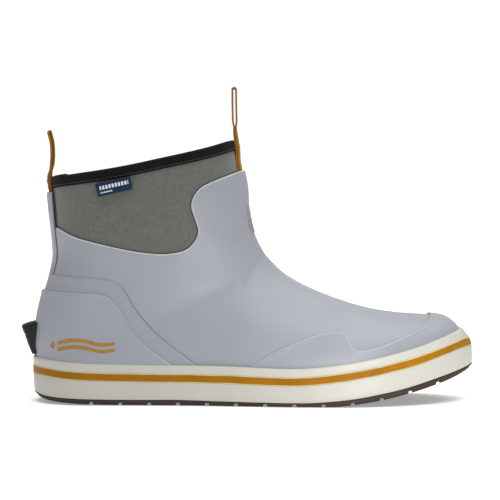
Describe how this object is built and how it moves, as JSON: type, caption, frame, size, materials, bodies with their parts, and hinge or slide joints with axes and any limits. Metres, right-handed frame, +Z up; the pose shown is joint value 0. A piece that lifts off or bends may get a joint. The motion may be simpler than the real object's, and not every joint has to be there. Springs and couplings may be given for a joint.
{
  "type": "deck boot",
  "caption": "Ankle-high waterproof deck boot for a right foot: matte rubber shell over a knit neoprene bootie, webbing pull loops, kick tab and a cupped, siped sole.",
  "frame": {"origin": "on the ground plane, below the middle of the bounding box of the boot with its loops standing up and its label hanging down", "axes": "+X towards the toe, +Y towards the wearer's left (the inner side of this right boot), +Z up along the shaft"},
  "size_m": [0.3114, 0.1102, 0.2152],
  "materials": {
    "outsole_rubber": "moulded dark brown rubber",
    "midsole_foam": "closed-cell EVA foam",
    "shank_steel": "spring steel strip",
    "crash_pad_foam": "soft foam plug",
    "board": "pressed fibre board",
    "foxing_rubber": "off-white sidewall rubber, satin",
    "stripe_rubber": "golden-brown rubber stripe, cream edges",
    "neoprene": "olive-grey knit-faced neoprene",
    "lining_mesh": "black air-mesh",
    "shell_rubber": "matte light grey hand-laid rubber",
    "overlay_rubber": "matte light grey rubber",
    "cup_rubber": "matte light grey rubber, rounded edge",
    "stay_rubber": "matte light grey rubber strip",
    "rand_rubber": "matte light grey rubber",
    "badge_rubber": "moulded grey rubber",
    "emblem_ink": "printed bronze mark",
    "tab_rubber": "black moulded rubber",
    "binding_tape": "black woven tape",
    "webbing": "golden-brown woven webbing",
    "thread": "dense zigzag stitching",
    "label_weave": "blue woven label",
    "footbed_foam": "dark moulded EVA",
    "cover_fabric": "dark knit top cloth"
  },
  "bodies": {
    "boot": {"outsole": "outsole_rubber", "midsole": "midsole_foam", "shank": "shank_steel", "heel_crash_pad": "crash_pad_foam", "insole_board": "board", "foxing": "foxing_rubber", "foxing_stripe": "stripe_rubber", "neoprene_bootie": "neoprene", "airmesh_lining": "lining_mesh", "rubber_shell": "shell_rubber", "heel_counter": "overlay_rubber", "heel_cup": "cup_rubber", "back_stay": "stay_rubber", "toe_rand": "rand_rubber", "shin_badge": "badge_rubber", "heel_emblem": "emblem_ink", "kick_tab": "tab_rubber", "collar_binding": "binding_tape", "front_loop_base": "webbing", "rear_loop_base": "webbing", "loop_bartacks": "thread"},
    "front_loop": {"front_loop": "webbing"},
    "rear_loop": {"rear_loop": "webbing"},
    "label": {"side_label": "label_weave"},
    "footbed": {"footbed": "footbed_foam", "footbed_cover": "cover_fabric"}
  },
  "joints": [
    {"name": "front_loop_flex", "type": "hinge", "parent": "boot", "child": "front_loop", "pos_m": [-0.0086, -0.00228, 0.1864], "axis": [0, 1, 0], "range_deg": [-110, 110], "stiffness_Nm_per_rad": 0.01},
    {"name": "rear_loop_flex", "type": "hinge", "parent": "boot", "child": "rear_loop", "pos_m": [-0.1354, 0.0006, 0.1586], "axis": [0, 1, 0], "range_deg": [-110, 100], "stiffness_Nm_per_rad": 0.01},
    {"name": "label_lift", "type": "hinge", "parent": "boot", "child": "label", "pos_m": [-0.0902, -0.0435, 0.151], "axis": [-0.9755, 0, -0.2198], "range_deg": [0, 110]},
    {"name": "footbed_lift", "type": "hinge", "parent": "boot", "child": "footbed", "pos_m": [0.1248, 0.0006, 0.0316], "axis": [0, 1, 0], "range_deg": [0, 7]}
  ]
}
